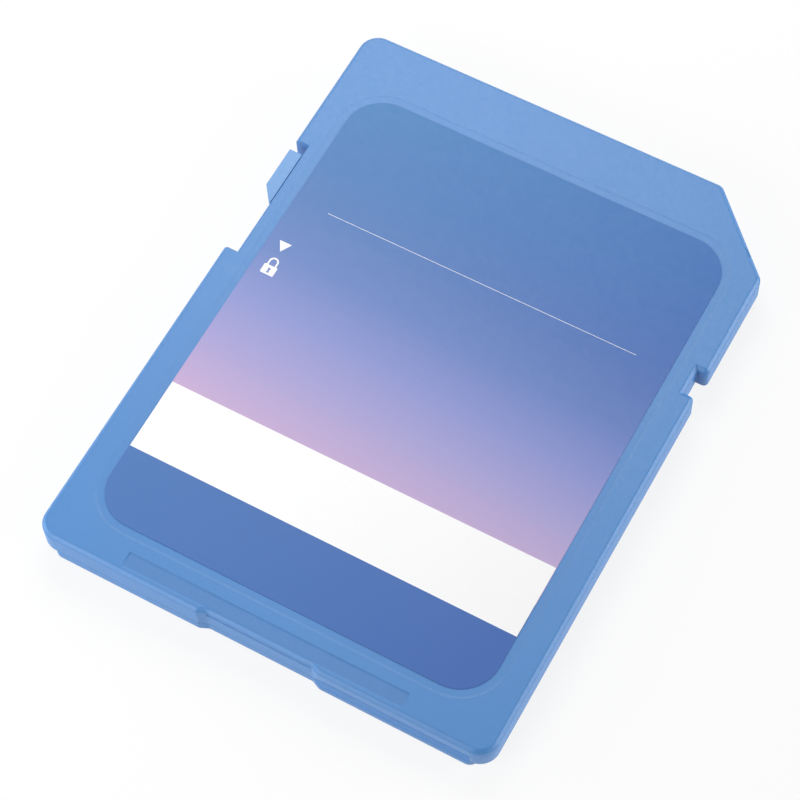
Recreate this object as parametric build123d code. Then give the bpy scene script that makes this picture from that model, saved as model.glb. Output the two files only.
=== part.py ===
from build123d import *
import os
from math import sqrt

# A secure-digital memory card, in millimetres. X runs across the card, Y towards the contact end
# and Z up out of the label face. The origin is the middle of the outline, on the back face.

# Contact row, counted from the lock side: the card is as wide as this row and its two margins
CONTACT_PITCH = 2.5
PITCH_6_TO_7 = 2.425
PITCH_7_TO_8 = 1.7
WINDOW_WIDTH = 1.8
NARROW_WINDOW_WIDTH = 1.1
REAR_WINDOW_WIDTH = 1.0
PAD_OVERLAP = 0.05
PAD_LENGTH = 4.6
PAD_EDGE_MARGIN = 0.1
LOCK_SIDE_MARGIN = 0.2
KEY_SIDE_MARGIN = 0.225
ROW_GAP = 1.8
REAR_PAD_LENGTH = 1.9
PAD_THICKNESS = 0.035
WINDOW_RADIUS = 0.15

# Lock slider and its channel
SLIDER_LENGTH = 3.2
SLIDER_RAMP_LENGTH = 0.85
SLIDER_RAMP_FOOT = 0.07
SLIDER_LIP = 0.25
SLIDER_HEAD = 0.29
SLIDER_HEAD_LENGTH = 2.2
SLIDER_NECK_HEIGHT = 0.35
SLIDER_CLEARANCE = 0.03
SLIDER_TOP_DROP = 0.03
SLIDER_FRONT_GAP = 0.6
SLIDER_END_GAP = 0.3
SLIDER_END_PLAY = 0.1
LOCK_NOTCH_START = 7.6
LOCK_NOTCH_LENGTH = 7.0

# Outline
CARD_LENGTH = 32.0
KEY_CHAMFER = 4.0
CORNER_RADIUS = 1.0
KEY_CORNER_RADIUS = 0.5
RAIL_STEP = 0.75
LOWER_CORNER_RADIUS = 0.5
KEY_NOTCH_START = 9.9
KEY_NOTCH_LENGTH = 1.42
KEY_NOTCH_DEPTH = 0.57
KEY_NOTCH_RADIUS = 0.25
FACE_BEVEL = 0.18
BACK_BEVEL = 0.12
END_RECESS_WIDTH = 6.4
END_RECESS_RUN = 0.45
END_RECESS_DEPTH = 0.2
END_RECESS_RADIUS = 0.3
NAIL_LIP = 0.3
NAIL_SLOT_HEIGHT = 0.2
NAIL_SLOT_DEPTH = 0.06
JOINT_RELIEF_HEIGHT = 1.2
JOINT_RELIEF_DEPTH = 0.18
JOINT_BEVEL_HEIGHT = 0.2
GROOVE_WIDTH = 14.75
GROOVE_OFFSET = 1.1
GROOVE_DEPTH = 0.04

# Stack from the back face to the label face
JOINT_HEIGHT = 0.7
BOARD_THICKNESS = 0.36
PACKAGE_HEIGHT = 0.6
HEADROOM = 0.04
CEILING = 0.365
LABEL_RECESS = 0.035
LABEL_RECESS_SLOPE = 70

# Shell walls
FRONT_WALL = 0.8
END_WALL = 1.6
KEY_WALL = 0.65
BACK_FLOOR = 0.35
LOWER_FRONT_SETBACK = 0.5
LOWER_KEY_SETBACK = 0.3
LEAD_IN = 0.35
CAVITY_RADIUS = 0.4
BOARD_CLEARANCE = 0.1

# Locating pegs, bosses and the pocket under the board
PEG_DIAMETER = 0.8
PEG_CLEARANCE = 0.05
PEG_ENGAGEMENT = 0.4
BOSS_WALL = 0.35
BOSS_SIDE_GAP = 0.4
BOSS_END_GAP = 0.5
POCKET_GAP = 0.4
POCKET_FRONT_LAND = 1.2

# Label
LABEL_SIDE_MARGIN = 1.67
LABEL_END_MARGIN = 2.15
LABEL_FRONT_MARGIN = 3.4
LABEL_RADIUS = 2.0
LABEL_GAP = 0.35
LABEL_THICKNESS = 0.03

# Parts on the board
FLASH_WIDTH = 13.0
FLASH_END_GAP = 0.6
FLASH_FRONT_GAP = 3.7
CONTROLLER_SIZE = 5.5
CONTROLLER_FRONT_GAP = 5.2
PACKAGE_EDGE = 0.1
PACKAGE_DOT_DIAMETER = 0.6
PACKAGE_DOT_DEPTH = 0.05
PACKAGE_DOT_MARGIN = 0.9
CHIP_LENGTH = 1.0
CHIP_WIDTH = 0.5
CAPACITOR_HEIGHT = 0.45
RESISTOR_HEIGHT = 0.3
CHIP_CAP = 0.22
CHIP_WAIST = 0.03
CAPACITOR_COUNT = 6
CAPACITOR_SPACING = 1.9
CAPACITOR_GAP = 0.7
RESISTOR_COUNT = 4
RESISTOR_SPACING = 1.5
RESISTOR_GAP = 0.7

# Widths and heights that follow
PAD_WIDTH = WINDOW_WIDTH + 2 * PAD_OVERLAP
NARROW_PAD_WIDTH = NARROW_WINDOW_WIDTH + 2 * PAD_OVERLAP
REAR_PAD_WIDTH = REAR_WINDOW_WIDTH + 2 * PAD_OVERLAP
SIDE_WALL = RAIL_STEP + SLIDER_LIP + SLIDER_HEAD + 2 * SLIDER_CLEARANCE
BOARD_INSET = SIDE_WALL + BOARD_CLEARANCE
ROW_NUMBERS = [8, 7, 6, 5, 4, 3, 2, 1, 9]
NARROW_NUMBERS = [8, 7]
NARROW_PITCHES = [PITCH_7_TO_8, PITCH_6_TO_7]
ROW_PITCHES = NARROW_PITCHES + [CONTACT_PITCH] * (len(ROW_NUMBERS) - 1 - len(NARROW_PITCHES))
FIRST_CONTACT = BOARD_INSET + LOCK_SIDE_MARGIN + NARROW_PAD_WIDTH / 2
LAST_CONTACT = BOARD_INSET + KEY_SIDE_MARGIN + PAD_WIDTH / 2
CARD_WIDTH = FIRST_CONTACT + sum(ROW_PITCHES) + LAST_CONTACT
BOARD_TOP = JOINT_HEIGHT + BOARD_THICKNESS
CEILING_HEIGHT = BOARD_TOP + PACKAGE_HEIGHT + HEADROOM
LABEL_FLOOR = CEILING_HEIGHT + CEILING
CARD_THICKNESS = LABEL_FLOOR + LABEL_RECESS
SIDE = CARD_WIDTH / 2
FRONT = CARD_LENGTH / 2
END = -CARD_LENGTH / 2
JOINT_RELIEF_START = END_RECESS_WIDTH / 2 - END_RECESS_RUN

# Lines across the card that several pieces share
PAD_FRONT = FRONT - FRONT_WALL - BOARD_CLEARANCE - PAD_EDGE_MARGIN
PAD_REAR = PAD_FRONT - PAD_LENGTH
REAR_PAD_FRONT = PAD_REAR - ROW_GAP
REAR_PAD_REAR = REAR_PAD_FRONT - REAR_PAD_LENGTH
BOARD_END = END + END_WALL + BOARD_CLEARANCE
CONTROLLER_FRONT = FRONT - CONTROLLER_FRONT_GAP
CONTROLLER_REAR = CONTROLLER_FRONT - CONTROLLER_SIZE
FLASH_FRONT = CONTROLLER_REAR - FLASH_FRONT_GAP
POCKET_FRONT = REAR_PAD_REAR - POCKET_FRONT_LAND

# The lock slider rests at the contact end of its notch, which is the unlocked place
LOCK_NOTCH_DEPTH = RAIL_STEP
LOCK_NOTCH_FRONT = FRONT - LOCK_NOTCH_START
LOCK_NOTCH_REAR = LOCK_NOTCH_FRONT - LOCK_NOTCH_LENGTH
SLIDER_FRONT = LOCK_NOTCH_FRONT - SLIDER_FRONT_GAP
SLIDER_REAR = SLIDER_FRONT - SLIDER_LENGTH
SLIDER_TRAVEL = SLIDER_REAR - SLIDER_END_GAP - LOCK_NOTCH_REAR
SLIDER_MIDDLE = (SLIDER_FRONT + SLIDER_REAR) / 2
HEAD_FRONT = SLIDER_MIDDLE + SLIDER_HEAD_LENGTH / 2
HEAD_REAR = SLIDER_MIDDLE - SLIDER_HEAD_LENGTH / 2
CHANNEL_FRONT = HEAD_FRONT + SLIDER_END_PLAY
CHANNEL_REAR = HEAD_REAR - SLIDER_TRAVEL - SLIDER_END_PLAY
LIP_OUTSIDE = -SIDE + LOCK_NOTCH_DEPTH
LIP_INSIDE = LIP_OUTSIDE + SLIDER_LIP
NECK_MIDDLE = (JOINT_HEIGHT + CEILING_HEIGHT) / 2
NECK_LOW = NECK_MIDDLE - SLIDER_NECK_HEIGHT / 2
NECK_HIGH = NECK_MIDDLE + SLIDER_NECK_HEIGHT / 2

# Locating pegs stand beside the flash package, on the land round the pocket
PEG_HOLE_RADIUS = PEG_DIAMETER / 2 + PEG_CLEARANCE
BOSS_RADIUS = PEG_HOLE_RADIUS + BOSS_WALL
PEG_X = SIDE - SIDE_WALL - BOSS_SIDE_GAP - BOSS_RADIUS
PEG_Y_END = END + END_WALL + BOSS_END_GAP + BOSS_RADIUS
PEG_Y_FRONT = POCKET_FRONT - BOSS_RADIUS
PEG_PLACES = [(x, y) for x in (-PEG_X, PEG_X) for y in (PEG_Y_END, PEG_Y_FRONT)]
PEG_TOP = BOARD_TOP + PEG_ENGAGEMENT


def block(x_limits, y_limits, z_limits):
    """A box between three pairs of limits."""
    limits = (x_limits, y_limits, z_limits)
    sizes = [high - low for low, high in limits]
    middles = [(high + low) / 2 for low, high in limits]
    return Pos(*middles) * Box(*sizes)


def key_line(inset):
    """The sum of x and y along the keyed corner's edge, moved in by an inset."""
    return SIDE + FRONT - KEY_CHAMFER - inset * sqrt(2)


def keyed_outline(side, front, end, key, radius, key_radius):
    """The five-cornered outline, moved in from each edge by its own amount."""
    x = SIDE - side
    y_front = FRONT - front
    y_end = END + end
    corners = [
        (-x, y_end),
        (x, y_end),
        (x, key_line(key) - x),
        (key_line(key) - y_front, y_front),
        (-x, y_front),
    ]
    radii = [radius, radius, key_radius, key_radius, radius]
    return make_face(FilletPolyline(*corners, radius=radii, close=True))


def shell_outline(side, front, key, radius):
    """The outline of one half, with the rounded recess in its finger end."""
    outer = END_RECESS_WIDTH / 2
    inner = outer - END_RECESS_RUN
    floor = END + END_RECESS_DEPTH
    recess = make_face(Polyline((-outer, END), (outer, END), (inner, floor), (-inner, floor), close=True))
    outline = keyed_outline(side, front, 0, key, radius, KEY_CORNER_RADIUS) - recess
    corners = outline.vertices().filter_by_position(Axis.X, -END_RECESS_WIDTH, END_RECESS_WIDTH)
    return fillet(corners, END_RECESS_RADIUS)


def contacts():
    """Every contact as its number, middle x, front and rear y, pad width and window width."""
    x = -SIDE + FIRST_CONTACT
    row = []
    for number, pitch in zip(ROW_NUMBERS, ROW_PITCHES + [0]):
        window = NARROW_WINDOW_WIDTH if number in NARROW_NUMBERS else WINDOW_WIDTH
        pad = window + 2 * PAD_OVERLAP
        board_edge = key_line(KEY_WALL + BOARD_CLEARANCE) - (x + pad / 2)
        front = min(PAD_FRONT, board_edge - PAD_EDGE_MARGIN)
        row.append((number, x, front, PAD_REAR, pad, window))
        x += pitch
    rear_row = []
    for step, (one, other) in enumerate(zip(row[1:], row)):
        middle = (one[1] + other[1]) / 2
        number = len(row) + len(row) - 1 - step
        rear_row.append((number, middle, REAR_PAD_FRONT, REAR_PAD_REAR, REAR_PAD_WIDTH, REAR_WINDOW_WIDTH))
    return row, rear_row


def pad_solid(contact):
    """One gold pad, let into the underside of the board."""
    number, x, front, rear, width, window = contact
    return block((x - width / 2, x + width / 2), (rear, front), (JOINT_HEIGHT, JOINT_HEIGHT + PAD_THICKNESS))


def contact_window(x, width, rear, front):
    """A window with rounded corners, through the whole back half."""
    outline = Pos(x, (front + rear) / 2) * RectangleRounded(width, front - rear, WINDOW_RADIUS)
    return extrude(outline, JOINT_HEIGHT)


def top_blank():
    """The front half as one block, with the key notch cut in and its upper rim bevelled."""
    notch_front = FRONT - KEY_NOTCH_START
    notch = Rectangle(KEY_NOTCH_DEPTH, KEY_NOTCH_LENGTH, align=(Align.MAX, Align.MAX))
    outline = shell_outline(0, 0, 0, CORNER_RADIUS) - Pos(SIDE, notch_front) * notch
    notch_reach = (notch_front - KEY_NOTCH_LENGTH - KEY_NOTCH_DEPTH, notch_front + KEY_NOTCH_DEPTH)
    mouth = outline.vertices().filter_by_position(Axis.Y, *notch_reach).sort_by(Axis.X)[-2:]
    outline = fillet(mouth, KEY_NOTCH_RADIUS)
    blank = Pos(0, 0, JOINT_HEIGHT) * extrude(outline, CARD_THICKNESS - JOINT_HEIGHT)
    rim = blank.faces().sort_by(Axis.Z)[-1].outer_wire().edges()
    return chamfer(rim, FACE_BEVEL)


def across(profile, start, stop):
    """A profile of y and z, run across the card from one x to another."""
    plane = Plane(origin=(start, 0, 0), x_dir=(0, 1, 0), z_dir=(1, 0, 0))
    return extrude(plane * make_face(profile), stop - start)


def finger_groove():
    """The shallow finger groove across the face: a step, from which the floor rises to the end bevel."""
    wall = END + GROOVE_OFFSET
    floor = CARD_THICKNESS - GROOVE_DEPTH
    rise = (END + FACE_BEVEL, CARD_THICKNESS)
    profile = Polyline((wall, CARD_THICKNESS), (wall, floor), rise, close=True)
    return across(profile, -GROOVE_WIDTH / 2, GROOVE_WIDTH / 2)


def nail_slot():
    """The slot under the lip of the end recess."""
    half = END_RECESS_WIDTH / 2 - END_RECESS_RUN
    top = CARD_THICKNESS - NAIL_LIP
    floor = END + END_RECESS_DEPTH + NAIL_SLOT_DEPTH
    return block((-half, half), (END, floor), (top - NAIL_SLOT_HEIGHT, top))


def joint_relief():
    """The end wall beside the recess, curved in towards the joint, which so shows as a dark line."""
    top = (END, JOINT_HEIGHT + JOINT_RELIEF_HEIGHT)
    foot = (END + JOINT_RELIEF_DEPTH, JOINT_HEIGHT)
    profile = TangentArc(top, foot, tangent=(0, -1)) + Polyline(foot, (END, JOINT_HEIGHT), top)
    return across(profile, JOINT_RELIEF_START, SIDE - CORNER_RADIUS)


def joint_bevel():
    """The bevel on the back half's end wall, under the curved part of the front half's."""
    low = (END, JOINT_HEIGHT - JOINT_BEVEL_HEIGHT)
    high = (END + JOINT_RELIEF_DEPTH, JOINT_HEIGHT)
    profile = Polyline(low, high, (END, JOINT_HEIGHT), close=True)
    return across(profile, JOINT_RELIEF_START, SIDE - CORNER_RADIUS)


def label_recess():
    """The shallow recess round the label, with sloped walls."""
    floor = Pos(0, 0, LABEL_FLOOR) * label_outline(LABEL_GAP)
    return extrude(floor, LABEL_RECESS, taper=-LABEL_RECESS_SLOPE)


def front_lead_in(front, height):
    """A 45 degree wedge along the leading edge, off the side that faces the connector."""
    profile = Polyline((front - LEAD_IN, height), (front, height), (front, height + LEAD_IN), close=True)
    return across(profile, -SIDE, SIDE)


def label_outline(gap):
    """The label's rounded outline, grown by a gap."""
    width = CARD_WIDTH - 2 * (LABEL_SIDE_MARGIN - gap)
    length = CARD_LENGTH - LABEL_END_MARGIN - LABEL_FRONT_MARGIN + 2 * gap
    middle = (LABEL_END_MARGIN - LABEL_FRONT_MARGIN) / 2
    return Pos(0, middle) * RectangleRounded(width, length, LABEL_RADIUS + gap)


def slider_channel():
    """The slot through the lip and the channel behind it, both open to the joint plane."""
    lengthwise = (CHANNEL_REAR, CHANNEL_FRONT)
    slot_top = NECK_HIGH + SLIDER_CLEARANCE
    slot = block((LIP_OUTSIDE, LIP_INSIDE), lengthwise, (JOINT_HEIGHT, slot_top))
    channel = block((LIP_INSIDE, -SIDE + SIDE_WALL), lengthwise, (JOINT_HEIGHT, CEILING_HEIGHT))
    return slot + channel


def boss(place):
    """A hollow boss that holds the board down and takes a locating peg."""
    tube = Circle(BOSS_RADIUS) - Circle(PEG_HOLE_RADIUS)
    x, y = place
    return Pos(x, y, BOARD_TOP) * extrude(tube, CEILING_HEIGHT - BOARD_TOP)


def top_shell():
    """The front half: full-width rails, label recess, finger groove and the board's cavity."""
    shell = top_blank() - finger_groove()
    lock_notch = (LOCK_NOTCH_REAR, LOCK_NOTCH_FRONT)
    shell -= block((-SIDE, LIP_OUTSIDE), lock_notch, (JOINT_HEIGHT, CARD_THICKNESS))
    cavity = keyed_outline(SIDE_WALL, FRONT_WALL, END_WALL, KEY_WALL, CAVITY_RADIUS, CAVITY_RADIUS)
    shell -= Pos(0, 0, JOINT_HEIGHT) * extrude(cavity, CEILING_HEIGHT - JOINT_HEIGHT)
    shell -= label_recess()
    shell -= nail_slot()
    shell -= joint_relief()
    shell -= front_lead_in(FRONT, JOINT_HEIGHT)
    shell -= slider_channel()
    for place in PEG_PLACES:
        shell += boss(place)
    return shell


def bottom_shell():
    """The back half: a grille of ribs over the contacts, a pocket, pegs and the slider's sill."""
    lower_front = FRONT - LOWER_FRONT_SETBACK
    outline = shell_outline(RAIL_STEP, LOWER_FRONT_SETBACK, LOWER_KEY_SETBACK, LOWER_CORNER_RADIUS)
    shell = extrude(outline, JOINT_HEIGHT)
    rim = shell.faces().sort_by(Axis.Z)[0].outer_wire().edges()
    shell = chamfer(rim, BACK_BEVEL)
    shell -= joint_bevel()
    shell -= front_lead_in(lower_front, 0)
    row, rear_row = contacts()
    for number, x, front, rear, pad, window in row:
        shell -= contact_window(x, window, rear + PAD_OVERLAP, lower_front + WINDOW_RADIUS)
    for number, x, front, rear, pad, window in rear_row:
        shell -= contact_window(x, window, rear + PAD_OVERLAP, front - PAD_OVERLAP)
    pocket_side = PEG_X - PEG_DIAMETER / 2 - POCKET_GAP
    pocket_end = PEG_Y_END + PEG_DIAMETER / 2 + POCKET_GAP
    shell -= block((-pocket_side, pocket_side), (pocket_end, POCKET_FRONT), (BACK_FLOOR, JOINT_HEIGHT))
    sill_ends = (CHANNEL_REAR + SLIDER_CLEARANCE, CHANNEL_FRONT - SLIDER_CLEARANCE)
    shell += block((LIP_OUTSIDE, LIP_INSIDE), sill_ends, (JOINT_HEIGHT, NECK_LOW - SLIDER_CLEARANCE))
    for x, y in PEG_PLACES:
        shell += Pos(x, y, JOINT_HEIGHT) * extrude(Circle(PEG_DIAMETER / 2), PEG_TOP - JOINT_HEIGHT)
    return shell


def lock_slider():
    """The slider: a body that fills the notch, a neck through the slot and a head behind the lip."""
    outside = -SIDE
    inside = LIP_OUTSIDE - SLIDER_CLEARANCE
    outline = Polyline(
        (outside, SLIDER_FRONT),
        (inside, SLIDER_FRONT),
        (inside, SLIDER_REAR),
        (inside - SLIDER_RAMP_FOOT, SLIDER_REAR),
        (outside, SLIDER_REAR + SLIDER_RAMP_LENGTH),
        close=True,
    )
    low = JOINT_HEIGHT + SLIDER_CLEARANCE
    high = CARD_THICKNESS - SLIDER_TOP_DROP
    body = Pos(0, 0, low) * extrude(make_face(outline), high - low)
    lengthwise = (HEAD_REAR, HEAD_FRONT)
    head_outside = LIP_INSIDE + SLIDER_CLEARANCE
    head_inside = head_outside + SLIDER_HEAD
    neck = block((inside, head_outside), lengthwise, (NECK_LOW, NECK_HIGH))
    head = block((head_outside, head_inside), lengthwise, (low, CEILING_HEIGHT - SLIDER_CLEARANCE))
    return body + neck + head


def circuit_board():
    """The board, with beds for the pads and holes for the pegs."""
    gap = BOARD_CLEARANCE
    outline = keyed_outline(
        SIDE_WALL + gap, FRONT_WALL + gap, END_WALL + gap, KEY_WALL + gap, CAVITY_RADIUS, CAVITY_RADIUS
    )
    for x, y in PEG_PLACES:
        outline -= Pos(x, y) * Circle(PEG_HOLE_RADIUS)
    board = Pos(0, 0, JOINT_HEIGHT) * extrude(outline, BOARD_THICKNESS)
    row, rear_row = contacts()
    for contact in row + rear_row:
        board -= pad_solid(contact)
    return board


def package(width, rear, front):
    """A moulded chip package on the board, with a bevelled top and a dot beside its first corner."""
    body = block((-width / 2, width / 2), (rear, front), (BOARD_TOP, BOARD_TOP + PACKAGE_HEIGHT))
    body = chamfer(body.faces().sort_by(Axis.Z)[-1].edges(), PACKAGE_EDGE)
    dot_x = -width / 2 + PACKAGE_DOT_MARGIN
    dot_y = front - PACKAGE_DOT_MARGIN
    dot_floor = BOARD_TOP + PACKAGE_HEIGHT - PACKAGE_DOT_DEPTH
    return body - Pos(dot_x, dot_y, dot_floor) * extrude(Circle(PACKAGE_DOT_DIAMETER / 2), PACKAGE_DOT_DEPTH)


def chip_part(x, y, height):
    """A chip capacitor or resistor: two metal end caps and a slightly slimmer waist."""
    half_width = CHIP_WIDTH / 2
    half_length = CHIP_LENGTH / 2
    waist = half_width - CHIP_WAIST
    cap_start = half_length - CHIP_CAP
    top = BOARD_TOP + height
    part = block((x - waist, x + waist), (y - cap_start, y + cap_start), (BOARD_TOP, top - CHIP_WAIST))
    for low, high in ((-half_length, -cap_start), (cap_start, half_length)):
        part += block((x - half_width, x + half_width), (y + low, y + high), (BOARD_TOP, top))
    return part


def chip_row(name, count, spacing, y, height):
    """A centred row of chip parts, as node names and solids."""
    first = -spacing * (count - 1) / 2
    return {f"{name}_{i + 1}": chip_part(first + i * spacing, y, height) for i in range(count)}


def assembly():
    """Every piece by its node name."""
    row, rear_row = contacts()
    pieces = {
        "top_shell": top_shell(),
        "bottom_shell": bottom_shell(),
        "front_label": Pos(0, 0, LABEL_FLOOR) * extrude(label_outline(0), LABEL_THICKNESS),
        "lock_slider": lock_slider(),
        "circuit_board": circuit_board(),
        "flash_package": package(FLASH_WIDTH, BOARD_END + FLASH_END_GAP, FLASH_FRONT),
        "controller_chip": package(CONTROLLER_SIZE, CONTROLLER_REAR, CONTROLLER_FRONT),
    }
    for contact in sorted(row + rear_row):
        pieces[f"contact_{contact[0]}"] = pad_solid(contact)
    capacitor_y = CONTROLLER_FRONT + CAPACITOR_GAP + CHIP_LENGTH / 2
    resistor_y = CONTROLLER_REAR - RESISTOR_GAP - CHIP_LENGTH / 2
    pieces |= chip_row("capacitor", CAPACITOR_COUNT, CAPACITOR_SPACING, capacitor_y, CAPACITOR_HEIGHT)
    pieces |= chip_row("resistor", RESISTOR_COUNT, RESISTOR_SPACING, resistor_y, RESISTOR_HEIGHT)
    return pieces


os.makedirs("parts", exist_ok=True)
for node, shape in assembly().items():
    export_step(shape, f"parts/{node}.step")
print("card", round(CARD_WIDTH, 3), CARD_LENGTH, round(CARD_THICKNESS, 3))
print("lock slider travel", round(SLIDER_TRAVEL, 3))
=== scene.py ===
from math import cos, pi, radians, sin

import bpy
from mathutils import Matrix, Vector


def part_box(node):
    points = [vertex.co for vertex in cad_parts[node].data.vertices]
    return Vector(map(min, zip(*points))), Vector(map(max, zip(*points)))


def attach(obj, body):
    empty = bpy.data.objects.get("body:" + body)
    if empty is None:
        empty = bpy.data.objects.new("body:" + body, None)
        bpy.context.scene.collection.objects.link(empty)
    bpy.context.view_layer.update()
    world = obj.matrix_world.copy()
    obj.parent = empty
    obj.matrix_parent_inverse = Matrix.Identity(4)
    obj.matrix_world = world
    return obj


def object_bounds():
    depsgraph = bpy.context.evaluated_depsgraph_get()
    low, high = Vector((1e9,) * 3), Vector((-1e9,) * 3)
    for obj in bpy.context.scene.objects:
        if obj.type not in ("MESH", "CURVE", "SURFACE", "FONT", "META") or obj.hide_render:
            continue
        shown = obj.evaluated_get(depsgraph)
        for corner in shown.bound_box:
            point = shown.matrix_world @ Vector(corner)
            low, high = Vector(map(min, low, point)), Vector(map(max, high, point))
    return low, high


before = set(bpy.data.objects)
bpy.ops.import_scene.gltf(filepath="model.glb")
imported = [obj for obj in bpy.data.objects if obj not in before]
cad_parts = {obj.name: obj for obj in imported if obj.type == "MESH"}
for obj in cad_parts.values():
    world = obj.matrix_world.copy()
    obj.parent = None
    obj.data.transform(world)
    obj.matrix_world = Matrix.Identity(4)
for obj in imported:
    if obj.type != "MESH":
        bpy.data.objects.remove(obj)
cad_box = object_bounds()

# Units: the scene is in metres, and sizes are written in millimetres
MM = 0.001
PER_MM = 1 / MM

# Edges: flat faces are made whole, and each sharp edge between them is rounded a little
SHELL_EDGE = 0.02 * MM
SLIDER_EDGE = 0.02 * MM
LABEL_EDGE = 0.012 * MM
BOARD_EDGE = 0.012 * MM
CONTACT_EDGE = 0.006 * MM
BOARD_PART_EDGE = 0.03 * MM
EDGE_SEGMENTS = 2
SHARP_ANGLE = radians(28)
FLAT_ANGLE = radians(0.5)
WELD_DISTANCE = 0.0005 * MM

# Moulded plastic's shading blends over its edges
SHELL_BLEND = 0.1 * MM
SLIDER_BLEND = 0.03 * MM
BLEND_SAMPLES = 8

# The finger groove's floor, placed from the near end and the face, gets painted shade: its colour is
# tinted darker
GROOVE_LENGTH = 14.75 * MM
GROOVE_NEAR = 0.4 * MM
GROOVE_FAR = 1.06 * MM
GROOVE_REACH = 0.1 * MM
GROOVE_PAINTED_SHADE = (0.78, 0.845, 0.885, 1.0)

# The lip of the label's recess is so soft that it hardly shows
LIP_REACH = 0.65 * MM
LIP_DEPTH = 0.1 * MM
LIP_EASE = 0.65

# The face's own normal, written as a normal map's colour
FACE_UP = (0.5, 0.5, 1.0, 1.0)

# Print on the label, placed from the label's own edges
INK = 0.004 * MM
INK_MARGIN = 0.02 * MM
FOOTER_HEIGHT = 3.675 * MM
BAND_HEIGHT = 3.87 * MM
LABEL_RADIUS = 2.0 * MM
RULE_FROM_BOTTOM = 19.235 * MM
RULE_LENGTH = 16.95 * MM
RULE_OFFSET = 0.06 * MM
RULE_WIDTH = 0.022 * MM
ARROW_FROM_LEFT = 0.92 * MM
ARROW_FROM_BOTTOM = 16.51 * MM
ARROW_WIDTH = 0.67 * MM
ARROW_HEIGHT = 0.58 * MM
LOCK_FROM_LEFT = 0.95 * MM
LOCK_FROM_BOTTOM = 14.79 * MM
LOCK_WIDTH = 0.72 * MM
LOCK_BODY_HEIGHT = 0.54 * MM
LOCK_CORNER = 0.05 * MM
SHACKLE_WIDTH = 0.52 * MM
SHACKLE_BAR = 0.09 * MM
SHACKLE_RISE = 0.22 * MM
KEYHOLE_RADIUS = 0.075 * MM
KEYHOLE_RISE = 0.05 * MM
KEYHOLE_FOOT = 0.08 * MM
KEYHOLE_DROP = 0.17 * MM
KEYHOLE_ARC = (-60, 240)

# Points along each round stretch of an outline
CORNER_STEPS = 10
LOCK_CORNER_STEPS = 4
KEYHOLE_STEPS = 20
SHACKLE_STEPS = 16

# Tinned length at each end of a chip part
CHIP_CAP = 0.22 * MM

# Camera, at the photograph's place
CAMERA_TARGET = Vector((-0.53, -1.585, 1.05)) * MM
CAMERA_AZIMUTH = radians(32.085)
CAMERA_ELEVATION = radians(62.007)
CAMERA_DISTANCE = 126.89 * MM
CAMERA_ROLL = radians(-3.498)
CAMERA_LENS = 119.182
CAMERA_SENSOR = 36.0
CAMERA_NEAREST = 1.0 * MM

# Light: each softbox's azimuth and elevation in degrees, distance and size in metres, and white level
SOFTBOXES = {
    "front_left_softbox": (-60, 15, 0.07, 0.04, 0.362),
    "front_softbox": (-20, 25, 0.12, 0.07, 0.496),
    "right_softbox": (95, 12, 0.3, 0.14, 0.333),
    "back_right_softbox": (125, 12, 0.3, 0.14, 0.478),
    "back_softbox": (205, 55, 0.1, 0.06, 0.479),
    "back_left_softbox": (230, 35, 0.1, 0.06, 0.158),
}
WORLD_LEVEL = 0.15

# The floor lies just under the card, and FLOOR_GLOW is how far it is lifted to white
FLOOR_SIZE = 3.0
FLOOR_GAP = 0.004 * MM
FLOOR_GLOW = 0.85
FLOOR_ROUGHNESS = 0.9


def srgb(red, green, blue):
    """A screen colour of 0 to 255 as linear colour with alpha."""
    def linear(value):
        value /= 255
        return value / 12.92 if value <= 0.04045 else ((value + 0.055) / 1.055) ** 2.4
    return (linear(red), linear(green), linear(blue), 1.0)


# Colours, with two tones where a noise runs between them
WHITE = (1.0, 1.0, 1.0, 1.0)
FLOOR_WHITE = srgb(250, 250, 250)
SHELL_BLUE = srgb(73, 131, 193)
SLIDER_BLUE = srgb(98, 149, 206)
INK_WHITE = srgb(250, 250, 251)
FOOTER_BLUE = srgb(76, 118, 179)
GOLD_TONES = (srgb(224, 178, 92), srgb(240, 200, 118))
MASK_TONES = (srgb(18, 70, 48), srgb(28, 92, 62))
EPOXY_TONES = (srgb(26, 26, 28), srgb(44, 44, 46))
CHIP_COLOURS = {"capacitor": srgb(168, 128, 88), "resistor": srgb(34, 34, 38)}
TIN_GREY = srgb(196, 198, 200)
TONE_STOPS = (0.3, 0.7)

# The label's colours by their place along the card in millimetres, and how they lean across it
LABEL_STOPS = [
    (-8.0, FOOTER_BLUE),
    (-7.9, srgb(207, 174, 207)),
    (-4.0, srgb(168, 160, 208)),
    (-1.0, srgb(139, 148, 204)),
    (2.0, srgb(105, 132, 189)),
    (5.0, srgb(86, 124, 182)),
    (8.0, srgb(75, 123, 181)),
    (12.9, srgb(68, 126, 181)),
]
LABEL_TILT = 0.043

# Painted shade on the printed blues: a tint that darkens them towards the keyed side, between these
# places in millimetres
SIDE_SHADE_TINT = (0.77, 0.77, 0.95, 1.0)
SIDE_SHADE_ACROSS = (-10.0, 10.0)
SIDE_SHADE_ALONG = (-4.0, 6.0)

# Noise: how rough it is, and the range that most of its values lie in
NOISE_ROUGHNESS = 0.55
NOISE_RANGE = (0.25, 0.75)
UNIT_RANGE = (0.0, 1.0)

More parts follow.
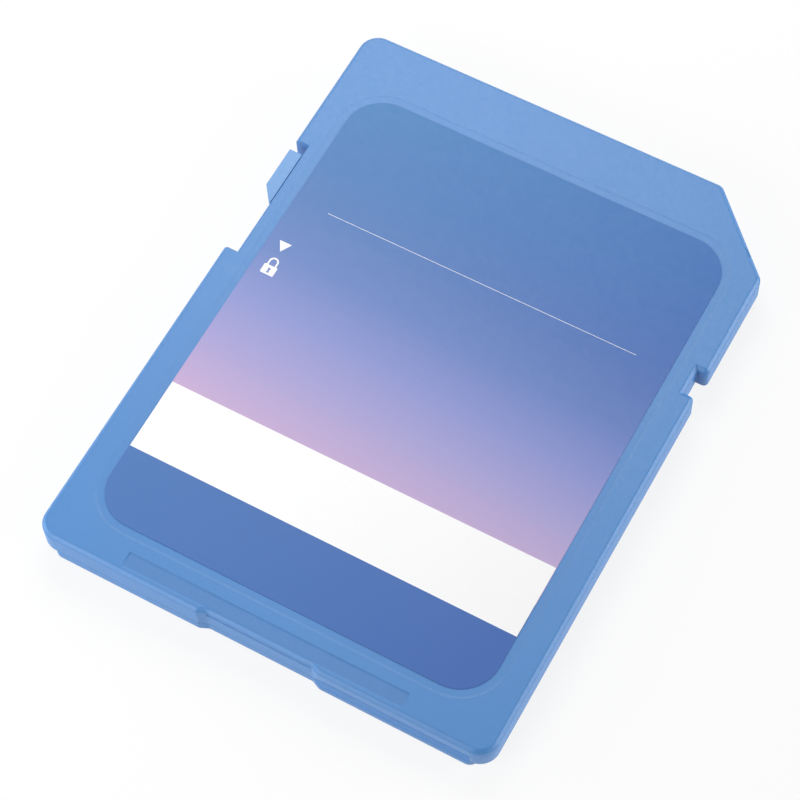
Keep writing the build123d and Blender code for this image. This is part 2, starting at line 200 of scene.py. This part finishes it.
# Finishes: the ranges of their shade factors and roughness, and the label's sheen
GRAIN_SHADES = (0.965, 1.035)
DRIFT_SHADES = (0.985, 1.015)
PRINT_SHADES = (0.975, 1.025)
WEAVE_SHADES = (0.94, 1.0)
CHIP_SHADES = (0.9, 1.1)
SHELL_ROUGHNESS = (0.37, 0.47)
SLIDER_ROUGHNESS = (0.35, 0.45)
LABEL_ROUGHNESS = (0.36, 0.46)
GOLD_ROUGHNESS = (0.2, 0.38)
MASK_ROUGHNESS = (0.28, 0.42)
EPOXY_ROUGHNESS = (0.55, 0.72)
CHIP_ROUGHNESS = (0.35, 0.55)
LABEL_SHEEN = 0.25

# Depth of each finish's fine relief
PLASTIC_RELIEF = 0.004 * MM
LABEL_RELIEF = 0.004 * MM
GOLD_RELIEF = 0.002 * MM
MASK_RELIEF = 0.003 * MM
EPOXY_RELIEF = 0.006 * MM
CHIP_RELIEF = 0.003 * MM

# Gold's polish lines run along the card, and the board's cloth shows so many squares per millimetre
POLISH_STRETCH = (9, 0.7, 9)
WEAVE_PER_MM = 2.2

# The mix node's two inputs and its output for each kind of data, by number
MIX_SOCKETS = {"VECTOR": (4, 5, 1), "RGBA": (6, 7, 2)}


class Surface:
    """A principled material with a few helpers to build its node tree."""

    def __init__(self, name):
        self.material = bpy.data.materials.new(name)
        self.material.use_nodes = True
        self.tree = self.material.node_tree
        self.shader = self.tree.nodes["Principled BSDF"]
        self.place = self.tree.nodes.new("ShaderNodeTexCoord").outputs["Object"]

    def node(self, kind, inputs=None, **settings):
        """A new node with its settings, and each input set or linked by name or number."""
        made = self.tree.nodes.new(kind)
        for key, value in settings.items():
            setattr(made, key, value)
        for key, value in (inputs or {}).items():
            self.feed(made, key, value)
        return made

    def feed(self, node, key, value):
        """An input of a node, linked to a socket or set to a value."""
        if isinstance(value, bpy.types.NodeSocket):
            self.tree.links.new(value, node.inputs[key])
        else:
            node.inputs[key].default_value = value

    def set(self, **inputs):
        """Shader inputs by name, with underscores for spaces."""
        for key, value in inputs.items():
            self.feed(self.shader, key.replace("_", " "), value)

    def math(self, operation, *values):
        """The result of a math node, whose values are fixed or linked."""
        return self.node("ShaderNodeMath", dict(enumerate(values)), operation=operation).outputs[0]

    def mix(self, kind, share, first, second, **settings):
        """Two vectors or colours mixed by a share."""
        one, two, result = MIX_SOCKETS[kind]
        inputs = {"Factor": share, one: first, two: second}
        return self.node("ShaderNodeMix", inputs, data_type=kind, **settings).outputs[result]

    def scaled(self, scale=(1, 1, 1)):
        """Object coordinates in millimetres, stretched by a scale."""
        stretched = [PER_MM * factor for factor in scale]
        return self.node("ShaderNodeMapping", {"Vector": self.place, "Scale": stretched}).outputs[0]

    def places(self):
        """The sockets of x, y and z in millimetres."""
        return self.node("ShaderNodeSeparateXYZ", {0: self.scaled()}).outputs

    def noise(self, per_mm, detail=3.0, stretch=(1, 1, 1)):
        """Noise of about so many cycles per millimetre."""
        inputs = {"Vector": self.scaled(stretch), "Scale": per_mm, "Detail": detail,
                  "Roughness": NOISE_ROUGHNESS}
        return self.node("ShaderNodeTexNoise", inputs).outputs[0]

    def remap(self, value, target, source=NOISE_RANGE):
        """A value brought from one range to another."""
        inputs = {"Value": value, "From Min": source[0], "From Max": source[1],
                  "To Min": target[0], "To Max": target[1]}
        return self.node("ShaderNodeMapRange", inputs).outputs[0]

    def ramp(self, value, stops):
        """A colour ramp with stops of place and colour."""
        made = self.node("ShaderNodeValToRGB", {0: value})
        elements = made.color_ramp.elements
        while len(elements) < len(stops):
            elements.new(0.5)
        for element, (place, colour) in zip(elements, stops):
            element.position = place
            element.color = colour
        return made.outputs[0]

    def between(self, value, tones):
        """A colour that a noise moves between two tones."""
        return self.ramp(value, list(zip(TONE_STOPS, tones)))

    def tinted(self, colour, factor, share=1.0):
        """A colour, linked or fixed, multiplied by a grey factor or a tint, fully or by a share."""
        return self.mix("RGBA", share, colour, factor, blend_type="MULTIPLY")

    def side_shaded(self, colour, share):
        """A colour with painted shade, darker from the lock side to the keyed side, by a share of the
        full tint.
        """
        across = self.remap(self.places()[0], UNIT_RANGE, SIDE_SHADE_ACROSS)
        return self.tinted(colour, SIDE_SHADE_TINT, self.math("MULTIPLY", across, share))

    def inside(self, low, high):
        """One inside a box of two corners, and nought outside it."""
        within = 1.0
        for place, near, far in zip(self.places(), low, high):
            middle = (near + far) / 2 * PER_MM
            reach = (far - near) / 2 * PER_MM
            within = self.math("MULTIPLY", self.math("COMPARE", place, middle, reach), within)
        return within

    def eased(self, normal, low, high):
        """A normal that inside a box is turned most of the way to the face's own."""
        upright = self.node("ShaderNodeNormalMap", {"Color": FACE_UP}, space="OBJECT").outputs[0]
        share = self.math("MULTIPLY", self.inside(low, high), LIP_EASE)
        return self.mix("VECTOR", share, normal, upright)

    def bump(self, height, depth, normal=None):
        """Relief of a depth in metres, on the surface's own normal or on another."""
        inputs = {"Height": height, "Distance": depth, "Strength": 1.0}
        if normal:
            inputs["Normal"] = normal
        return self.node("ShaderNodeBump", inputs).outputs[0]


def moulded_plastic(name, colour, roughness, blend, groove=None, recess=None):
    """Satin moulded plastic: fine eroded grain, slow colour drift, blended edges and painted shade on
    the groove's floor.
    """
    surface = Surface(name)
    if groove:
        # Painted shade: inside the groove's box the colour is tinted darker
        colour = surface.tinted(colour, GROOVE_PAINTED_SHADE, surface.inside(*groove))
    normal = surface.node("ShaderNodeBevel", {"Radius": blend}, samples=BLEND_SAMPLES).outputs[0]
    if recess:
        normal = surface.eased(normal, *recess)
    grain = surface.remap(surface.noise(per_mm=9.0, detail=4.0), GRAIN_SHADES)
    drift = surface.remap(surface.noise(per_mm=0.22, detail=2.0), DRIFT_SHADES)
    surface.set(
        Base_Color=surface.tinted(colour, surface.math("MULTIPLY", grain, drift)),
        Roughness=surface.remap(surface.noise(per_mm=5.0), roughness),
        Normal=surface.bump(surface.noise(per_mm=13.0), PLASTIC_RELIEF, normal),
    )
    return surface.material


def label_film(name):
    """Printed film: colours that run along the card, with painted shade that darkens them across it, and
    the print's own face.
    """
    surface = Surface(name)
    x, y, _ = surface.places()
    along = surface.math("MULTIPLY_ADD", x, LABEL_TILT, y)
    low, high = LABEL_STOPS[0][0], LABEL_STOPS[-1][0]
    stops = [((place - low) / (high - low), colour) for place, colour in LABEL_STOPS]
    colour = surface.ramp(surface.remap(along, UNIT_RANGE, (low, high)), stops)
    # Painted shade: the blues darken towards the keyed side, the more the nearer the blue end
    print_face(surface, surface.side_shaded(colour, surface.remap(along, UNIT_RANGE, SIDE_SHADE_ALONG)))
    return surface.material


def ink(name, colour, side_shade=0.0):
    """A printed field of one colour, which may get painted shade that darkens it across the card, with
    the print's own face.
    """
    surface = Surface(name)
    print_face(surface, surface.side_shaded(colour, side_shade) if side_shade else colour)
    return surface.material


def print_face(surface, colour):
    """The print grain and slightly uneven satin face that all the label's fields share."""
    surface.set(
        Base_Color=surface.tinted(colour, surface.remap(surface.noise(per_mm=11.0), PRINT_SHADES)),
        Roughness=surface.remap(surface.noise(per_mm=3.0), LABEL_ROUGHNESS),
        Normal=surface.bump(surface.noise(per_mm=1.2, detail=2.0), LABEL_RELIEF),
        Specular_IOR_Level=LABEL_SHEEN,
    )


def plated_gold(name):
    """Gold plating on a contact: fine polish lines along the wiping direction and a little tarnish."""
    surface = Surface(name)
    lines = surface.noise(per_mm=3.0, detail=4.0, stretch=POLISH_STRETCH)
    surface.set(
        Base_Color=surface.between(surface.noise(per_mm=0.9), GOLD_TONES),
        Metallic=1.0,
        Roughness=surface.remap(lines, GOLD_ROUGHNESS),
        Normal=surface.bump(lines, GOLD_RELIEF),
    )
    return surface.material


def solder_mask(name):
    """Green solder mask over glass cloth, whose weave shows faintly through it."""
    surface = Surface(name)
    checks = surface.node("ShaderNodeTexChecker", {"Vector": surface.scaled(), "Scale": WEAVE_PER_MM})
    weave = checks.outputs[1]
    colour = surface.between(surface.noise(per_mm=0.8), MASK_TONES)
    surface.set(
        Base_Color=surface.tinted(colour, surface.remap(weave, WEAVE_SHADES, UNIT_RANGE)),
        Roughness=surface.remap(surface.noise(per_mm=4.0), MASK_ROUGHNESS),
        Normal=surface.bump(weave, MASK_RELIEF),
    )
    return surface.material


def moulded_epoxy(name):
    """The black moulding compound of a chip package, with its fine filler grain."""
    surface = Surface(name)
    filler = surface.noise(per_mm=16.0, detail=5.0)
    surface.set(
        Base_Color=surface.between(filler, EPOXY_TONES),
        Roughness=surface.remap(filler, EPOXY_ROUGHNESS),
        Normal=surface.bump(filler, EPOXY_RELIEF),
    )
    return surface.material


def chip_body(name, colour, low, high):
    """A chip part that lies between two places along the card: a ceramic waist and two tinned ends."""
    surface = Surface(name)
    from_middle = surface.math("SUBTRACT", surface.places()[1], (low + high) / 2 * PER_MM)
    waist = ((high - low) / 2 - CHIP_CAP) * PER_MM
    metal = surface.math("GREATER_THAN", surface.math("ABSOLUTE", from_middle), waist)
    both = surface.ramp(metal, [(0.0, colour), (1.0, TIN_GREY)])
    surface.set(
        Base_Color=surface.tinted(both, surface.remap(surface.noise(per_mm=14.0), CHIP_SHADES)),
        Metallic=metal,
        Roughness=surface.remap(surface.noise(per_mm=9.0), CHIP_ROUGHNESS),
        Normal=surface.bump(surface.noise(per_mm=12.0), CHIP_RELIEF),
    )
    return surface.material


def dress(node, material, edge):
    """Gives a CAD node its finish, and soft edges by modifiers on top of its mesh."""
    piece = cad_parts[node]
    piece.data.materials.clear()
    piece.data.materials.append(material)
    weld = piece.modifiers.new("weld", "WELD")
    weld.merge_threshold = WELD_DISTANCE
    flat = piece.modifiers.new("flat_faces", "DECIMATE")
    flat.decimate_type = "DISSOLVE"
    flat.angle_limit = FLAT_ANGLE
    soften = piece.modifiers.new("soft_edges", "BEVEL")
    soften.width = edge
    soften.segments = EDGE_SEGMENTS
    soften.limit_method = "ANGLE"
    soften.angle_limit = SHARP_ANGLE
    soften.use_clamp_overlap = False
    soften.harden_normals = True


def dress_group(start, material, edge):
    """Gives every CAD node whose name has the same start its finish."""
    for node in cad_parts:
        if node.startswith(start):
            dress(node, material, edge)


def groove_shade_box():
    """Two corners of a box round the finger groove's floor, where shade is painted."""
    end, face = shell_low.y, shell_high.z
    return (Vector((-GROOVE_LENGTH / 2, end + GROOVE_NEAR, face - GROOVE_REACH)),
            Vector((GROOVE_LENGTH / 2, end + GROOVE_FAR, face + GROOVE_REACH)))


def recess_box():
    """Two corners of a box round the label's recess and its lip."""
    around = Vector((LIP_REACH, LIP_REACH, LIP_DEPTH))
    return label_low - around, label_high + around


def dress_card():
    """Every CAD node gets its finish."""
    # The shell's finish carries painted shade on the finger groove's floor
    shell = moulded_plastic("shell_plastic_and_groove_shade", SHELL_BLUE, SHELL_ROUGHNESS, SHELL_BLEND,
                            groove_shade_box(), recess_box())
    slider = moulded_plastic("slider_plastic", SLIDER_BLUE, SLIDER_ROUGHNESS, SLIDER_BLEND)
    epoxy = moulded_epoxy("package_epoxy")
    dress("top_shell", shell, SHELL_EDGE)
    dress("bottom_shell", shell, SHELL_EDGE)
    dress("lock_slider", slider, SLIDER_EDGE)
    dress("front_label", label_film("label_print_and_side_shade"), LABEL_EDGE)
    dress("circuit_board", solder_mask("board_solder_mask"), BOARD_EDGE)
    dress("flash_package", epoxy, BOARD_PART_EDGE)
    dress("controller_chip", epoxy, BOARD_PART_EDGE)
    for row, colour in CHIP_COLOURS.items():
        low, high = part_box(row + "_1")
        dress_group(row, chip_body(row + "_finish", colour, low.y, high.y), BOARD_PART_EDGE)
    dress_group("contact_", plated_gold("contact_gold_plating"), CONTACT_EDGE)


def arc(centre, radius, start, end, steps):
    """Points along an arc, with angles in degrees."""
    points = []
    for step in range(steps + 1):
        angle = radians(start + (end - start) * step / steps)
        points.append((centre[0] + radius * cos(angle), centre[1] + radius * sin(angle)))
    return points


def rounded_box(left, right, bottom, top, radii=(0, 0, 0, 0), steps=CORNER_STEPS):
    """The outline of a box whose four corners, from the lower left, each have their own radius."""
    corners = [(left, bottom, 1, 1, 180), (right, bottom, -1, 1, 270),
               (right, top, -1, -1, 0), (left, top, 1, -1, 90)]
    points = []
    for (x, y, inward_x, inward_y, start), radius in zip(corners, radii):
        if radius:
            centre = (x + inward_x * radius, y + inward_y * radius)
            points += arc(centre, radius, start, start + 90, steps)
        else:
            points.append((x, y))
    return points


def footer():
    """The outline of the field along the label's near end, with the label's own corners."""
    radius = LABEL_RADIUS - INK_MARGIN
    return rounded_box(label_low.x + INK_MARGIN, label_high.x - INK_MARGIN, label_low.y + INK_MARGIN,
                       label_low.y + FOOTER_HEIGHT, (radius, radius, 0, 0))


def band():
    """The outline of the white band above the footer."""
    bottom = label_low.y + FOOTER_HEIGHT
    return rounded_box(label_low.x + INK_MARGIN, label_high.x - INK_MARGIN, bottom, bottom + BAND_HEIGHT)


def rule():
    """The outline of the thin rule across the label."""
    middle = label_low.y + RULE_FROM_BOTTOM
    return rounded_box(RULE_OFFSET - RULE_LENGTH / 2, RULE_OFFSET + RULE_LENGTH / 2,
                       middle - RULE_WIDTH / 2, middle + RULE_WIDTH / 2)


def arrow():
    """The outline of the lock arrow, a triangle that points to the near end."""
    middle = label_low.x + ARROW_FROM_LEFT
    base = label_low.y + ARROW_FROM_BOTTOM + ARROW_HEIGHT / 2
    half = ARROW_WIDTH / 2
    return [(middle - half, base), (middle, base - ARROW_HEIGHT), (middle + half, base)]


def padlock():
    """Outlines of a small closed padlock: body, keyhole and shackle."""
    middle = label_low.x + LOCK_FROM_LEFT
    bottom = label_low.y + LOCK_FROM_BOTTOM
    top = bottom + LOCK_BODY_HEIGHT
    body = rounded_box(middle - LOCK_WIDTH / 2, middle + LOCK_WIDTH / 2, bottom, top,
                       [LOCK_CORNER] * 4, LOCK_CORNER_STEPS)
    eye = (bottom + top) / 2 + KEYHOLE_RISE
    foot = (bottom + top) / 2 - KEYHOLE_DROP
    keyhole = arc((middle, eye), KEYHOLE_RADIUS, *KEYHOLE_ARC, KEYHOLE_STEPS)
    keyhole += [(middle - KEYHOLE_FOOT, foot), (middle + KEYHOLE_FOOT, foot)]
    outer = SHACKLE_WIDTH / 2
    inner = outer - SHACKLE_BAR
    spring = (middle, top + SHACKLE_RISE)
    shackle = [(middle + outer, top), *arc(spring, outer, 0, 180, SHACKLE_STEPS), (middle - outer, top)]
    shackle += [(middle - inner, top), *arc(spring, inner, 180, 0, SHACKLE_STEPS), (middle + inner, top)]
    return [body, keyhole, shackle]


def printed(name, outlines, material):
    """A thin printed field on the label: closed outlines, where one inside another is a hole."""
    curve = bpy.data.curves.new(name, "CURVE")
    curve.dimensions = "2D"
    curve.fill_mode = "BOTH"
    curve.extrude = INK / 2
    for outline in outlines:
        spline = curve.splines.new("POLY")
        spline.points.add(len(outline) - 1)
        for point, (x, y) in zip(spline.points, outline):
            point.co = (x, y, 0, 1)
        spline.use_cyclic_u = True
    flat = bpy.data.objects.new(name + "_outline", curve)
    mesh = bpy.data.meshes.new_from_object(flat)
    bpy.data.objects.remove(flat)
    mesh.name = name
    mesh.materials.clear()
    mesh.materials.append(material)
    mesh.transform(Matrix.Translation((0, 0, label_high.z + INK / 2)))
    piece = bpy.data.objects.new(name, mesh)
    bpy.context.scene.collection.objects.link(piece)
    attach(piece, "card")


def print_label():
    """The label's printed fields."""
    white = ink("white_ink", INK_WHITE)
    # The footer's blue gets the full painted shade towards the keyed side
    printed("print_footer", [footer()], ink("footer_ink_and_side_shade", FOOTER_BLUE, side_shade=1.0))
    printed("print_band", [band()], white)
    printed("print_rule", [rule()], white)
    printed("print_arrow", [arrow()], white)
    printed("print_padlock", padlock(), white)


def direction(azimuth, elevation):
    """The unit vector towards a place, where azimuth 0 is the near side, at minus Y."""
    level = cos(elevation)
    return Vector((sin(azimuth) * level, -cos(azimuth) * level, sin(elevation)))


def softbox(name, azimuth, elevation, distance, size, level):
    """A square area light aimed at the card."""
    towards = direction(radians(azimuth), radians(elevation))
    lamp = bpy.data.lights.new(name, "AREA")
    lamp.size = size
    lamp.energy = level * (pi * distance) ** 2
    holder = bpy.data.objects.new(name, lamp)
    holder.location = towards * distance
    holder.visible_camera = False
    holder.rotation_euler = towards.to_track_quat("Z", "Y").to_euler()
    bpy.context.scene.collection.objects.link(holder)


def seen_factor(tree):
    """One for rays from the camera, from gloss or through glass, and nought for those that light."""
    path = tree.nodes.new("ShaderNodeLightPath")
    total = path.outputs["Is Camera Ray"]
    for ray in ("Is Glossy Ray", "Is Transmission Ray"):
        either = tree.nodes.new("ShaderNodeMath")
        either.operation = "MAXIMUM"
        tree.links.new(total, either.inputs[0])
        tree.links.new(path.outputs[ray], either.inputs[1])
        total = either.outputs[0]
    return total


def studio_world():
    """White surroundings: they are seen at full white and light the card at their own level."""
    world = bpy.data.worlds.new("studio")
    world.use_nodes = True
    tree = world.node_tree
    background = tree.nodes["Background"]
    background.inputs["Color"].default_value = WHITE
    level = tree.nodes.new("ShaderNodeMapRange")
    level.inputs["To Min"].default_value = WORLD_LEVEL
    level.inputs["To Max"].default_value = 1.0
    tree.links.new(seen_factor(tree), level.inputs["Value"])
    tree.links.new(level.outputs[0], background.inputs["Strength"])
    bpy.context.scene.world = world


def floor_finish():
    """Matt white that keeps a shadow, lifted towards white where it is seen."""
    surface = Surface("floor_white")
    surface.set(Base_Color=FLOOR_WHITE, Roughness=FLOOR_ROUGHNESS, Specular_IOR_Level=0.0)
    glow = surface.node("ShaderNodeEmission", {"Color": WHITE, "Strength": 1.0}).outputs[0]
    share = surface.math("MULTIPLY", seen_factor(surface.tree), FLOOR_GLOW)
    mixed = surface.node("ShaderNodeMixShader", {0: share, 1: surface.shader.outputs[0], 2: glow})
    surface.feed(surface.tree.nodes["Material Output"], "Surface", mixed.outputs[0])
    return surface.material


def studio_floor():
    """A plain white floor just under the card."""
    half = FLOOR_SIZE / 2
    corners = [(-half, -half, 0), (half, -half, 0), (half, half, 0), (-half, half, 0)]
    mesh = bpy.data.meshes.new("floor")
    mesh.from_pydata(corners, [], [(0, 1, 2, 3)])
    mesh.materials.append(floor_finish())
    floor = bpy.data.objects.new("floor", mesh)
    floor.location.z = cad_box[0].z - FLOOR_GAP
    bpy.context.scene.collection.objects.link(floor)


def studio_camera():
    """The camera at the photograph's place, with its small roll."""
    towards = direction(CAMERA_AZIMUTH, CAMERA_ELEVATION)
    right = Vector((0, 0, 1)).cross(towards).normalized()
    up = towards.cross(right)
    across = right * cos(CAMERA_ROLL) + up * sin(CAMERA_ROLL)
    upward = towards.cross(across)
    place = Matrix((across, upward, towards)).transposed().to_4x4()
    place.translation = CAMERA_TARGET + towards * CAMERA_DISTANCE
    lens = bpy.data.cameras.new("camera")
    lens.sensor_width = CAMERA_SENSOR
    lens.lens = CAMERA_LENS
    lens.clip_start = CAMERA_NEAREST
    camera = bpy.data.objects.new("camera", lens)
    camera.matrix_world = place
    bpy.context.scene.collection.objects.link(camera)
    bpy.context.scene.camera = camera


shell_low, shell_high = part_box("top_shell")
label_low, label_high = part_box("front_label")
dress_card()
print_label()
studio_world()
studio_floor()
studio_camera()
for name, settings in SOFTBOXES.items():
    softbox(name, *settings)
bpy.context.scene.view_settings.view_transform = "Standard"
